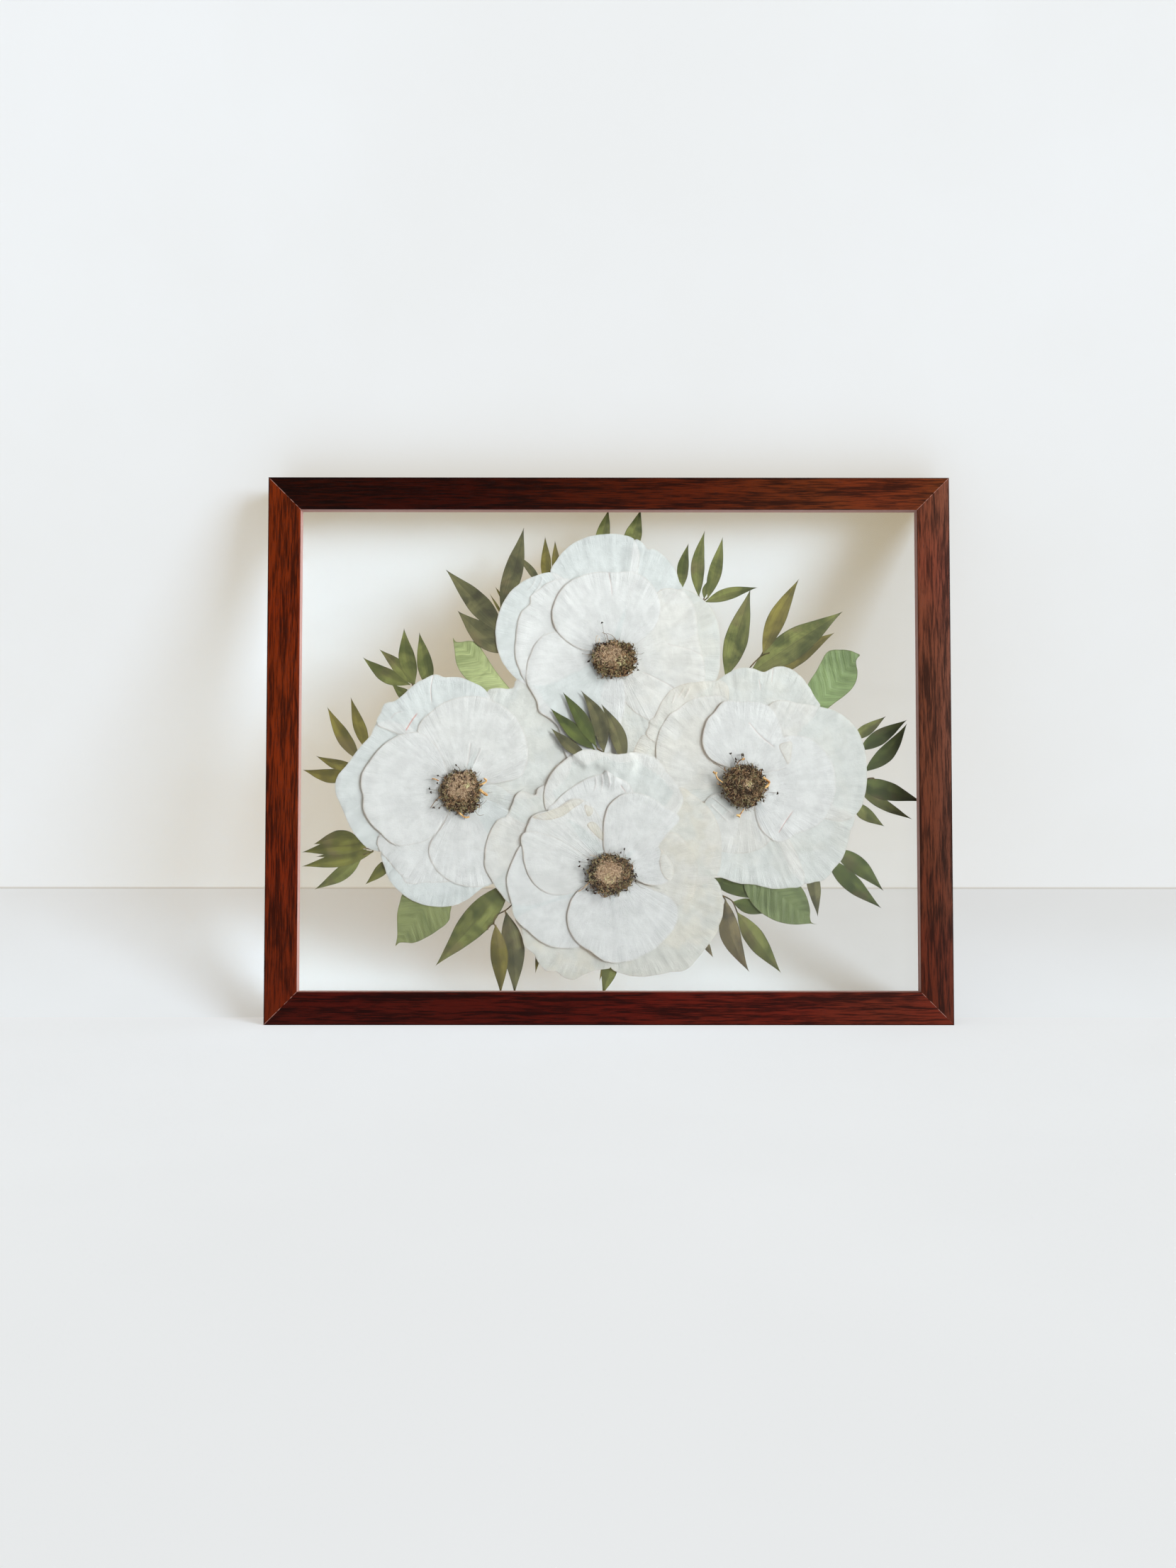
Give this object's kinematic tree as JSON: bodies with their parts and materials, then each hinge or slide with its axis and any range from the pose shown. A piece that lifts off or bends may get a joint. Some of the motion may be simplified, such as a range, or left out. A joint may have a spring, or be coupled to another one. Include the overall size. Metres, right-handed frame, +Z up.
{
  "type": "pressed flower frame",
  "caption": "Flat mitred wooden frame with two glass panes that hold pressed white flowers and dried green foliage between them.",
  "frame": {"origin": "middle of the frame's underside, where it stands on its lower edge", "axes": "+X to the viewer's right along the frame's width, -Y towards the viewer, out of the front glass, +Z up"},
  "size_m": [0.381, 0.025, 0.3048],
  "materials": {
    "rail_wood": "mahogany-brown stain with fine dark streaks, satin",
    "pane_glass": "clear polished float glass",
    "petal": "dried pressed white petal, matte and slightly see-through",
    "stamens": "dried brown stamens and cone, matte",
    "slender_leaf": "dried dark olive leaf, matte",
    "broad_leaf": "dried lighter green leaf with fine wrinkles, matte"
  },
  "bodies": {
    "root": {"rail_bottom": "rail_wood", "rail_top": "rail_wood", "rail_left": "rail_wood", "rail_right": "rail_wood", "pane_front": "pane_glass", "pane_back": "pane_glass", "bottom_flower_centre": "stamens", "right_flower_centre": "stamens", "top_flower_centre": "stamens", "left_flower_centre": "stamens", "bottom_flower_petal_upper_right_front": "petal", "bottom_flower_petal_lower_front": "petal", "bottom_flower_petal_upper_back": "petal", "bottom_flower_petal_upper_middle": "petal", "bottom_flower_petal_left_middle": "petal", "right_flower_petal_upper_left_front": "petal", "right_flower_petal_left_middle": "petal", "right_flower_petal_upper_back": "petal", "right_flower_petal_right_front": "petal", "top_flower_petal_upper_front": "petal", "top_flower_petal_lower_left_front": "petal", "top_flower_petal_right_middle": "petal", "top_flower_petal_left_middle": "petal", "top_flower_petal_left_back": "petal", "left_flower_petal_left_front": "petal", "left_flower_petal_upper_front": "petal", "left_flower_petal_lower_front": "petal", "left_flower_petal_left_back": "petal", "left_flower_petal_upper_back": "petal", "left_flower_petal_right_back": "petal", "bottom_flower_petals_left_front": "petal", "bottom_flower_petals_left_back": "petal", "bottom_flower_petals_bottom_back": "petal", "bottom_flower_petals_right_back": "petal", "right_flower_petals_lower_back": "petal", "right_flower_petals_outer_left": "petal", "right_flower_petals_outer_right": "petal", "top_flower_petals_upper_back": "petal", "top_flower_petals_right_back": "petal", "left_flower_petals_lower_back": "petal", "twig_centre": "slender_leaf", "twig_top_left": "slender_leaf", "twig_upper_left": "slender_leaf", "twig_left_upper": "slender_leaf", "twig_left": "slender_leaf", "twig_lower_left": "slender_leaf", "twig_bottom_left": "slender_leaf", "twig_bottom": "slender_leaf", "twig_lower_right": "slender_leaf", "leaf_slender_lower_right": "slender_leaf", "twig_right_lower": "slender_leaf", "twig_right": "slender_leaf", "twig_right_upper": "slender_leaf", "twig_upper_right": "slender_leaf", "twig_top_right": "slender_leaf", "twig_top": "slender_leaf", "leaf_broad_upper_left": "broad_leaf", "leaf_broad_lower_left": "broad_leaf", "leaf_broad_lower_right": "broad_leaf", "leaf_broad_right": "broad_leaf"}
  },
  "joints": []
}
